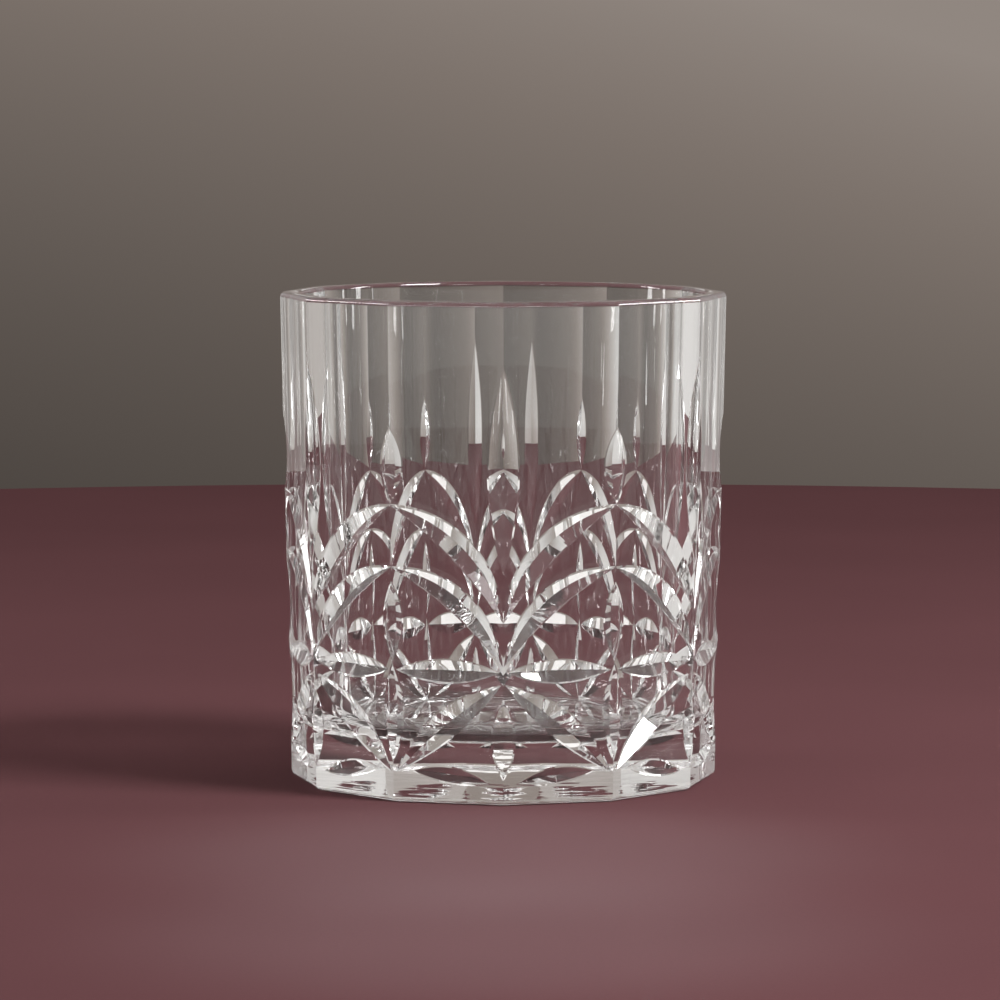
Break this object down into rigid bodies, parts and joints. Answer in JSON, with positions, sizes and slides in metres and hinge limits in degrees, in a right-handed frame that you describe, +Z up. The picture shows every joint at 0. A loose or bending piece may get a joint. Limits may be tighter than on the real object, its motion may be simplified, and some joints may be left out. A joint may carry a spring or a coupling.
{
  "type": "whiskey tumbler",
  "caption": "Clear twelve-sided whiskey tumbler with a round bore, a thick base and V-cut leaves and petals round the lower wall, for holding a drink.",
  "frame": {"origin": "centre of the underside, on the table", "axes": "+Z up along the bore axis, -Y towards the crease at the front"},
  "size_m": [0.087, 0.087, 0.095],
  "materials": {
    "clear_glass": "clear polished glass, moulded with sharp cut lines"
  },
  "bodies": {
    "root": {"tumbler": "clear_glass"}
  },
  "joints": []
}
